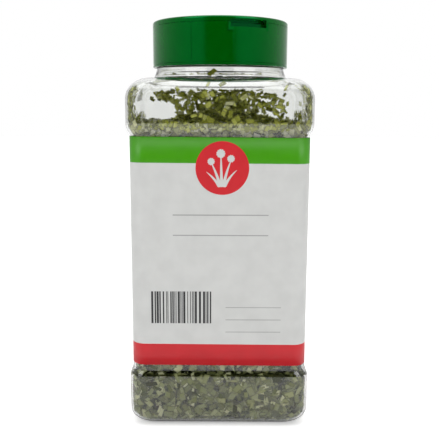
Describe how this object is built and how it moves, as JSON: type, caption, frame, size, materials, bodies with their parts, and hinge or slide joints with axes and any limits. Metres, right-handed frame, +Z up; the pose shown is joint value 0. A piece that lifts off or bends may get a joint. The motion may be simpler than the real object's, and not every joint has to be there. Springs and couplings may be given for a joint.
{
  "type": "jar of dried chives",
  "caption": "Clear square jar of chopped dried chives with a wrap-round label and a turning green cap that has two hinged flaps, one over a sifting deck and one over a spoon opening.",
  "frame": {"origin": "middle of the ring on the jar's base that it stands on", "axes": "+Z up along the axis of the jar and cap; +Y towards the jar's back, so the face that the picture shows looks along -Y"},
  "size_m": [0.086, 0.086, 0.1937],
  "materials": {
    "clear_plastic": "gloss",
    "label_film": "satin",
    "dried_leaf": "matte",
    "green_plastic": "gloss"
  },
  "bodies": {
    "jar": {"jar": "clear_plastic", "label": "label_film", "dried_chives": "dried_leaf"},
    "cap": {"cap_body": "green_plastic"},
    "sift_flap": {"sift_flap": "green_plastic"},
    "spoon_flap": {"spoon_flap": "green_plastic"}
  },
  "joints": [
    {"name": "cap_turn", "type": "hinge", "parent": "jar", "child": "cap", "pos_m": [0, 0, 0.18], "axis": [0, 0, 1], "range_deg": [0, 55]},
    {"name": "sift_flap_hinge", "type": "hinge", "parent": "cap", "child": "sift_flap", "pos_m": [0.00127, -0.00272, 0.1937], "axis": [-0.9063, -0.4226, 0], "range_deg": [0, 95]},
    {"name": "spoon_flap_hinge", "type": "hinge", "parent": "cap", "child": "spoon_flap", "pos_m": [-0.00127, 0.00272, 0.1937], "axis": [0.9063, 0.4226, 0], "range_deg": [0, 95]}
  ]
}
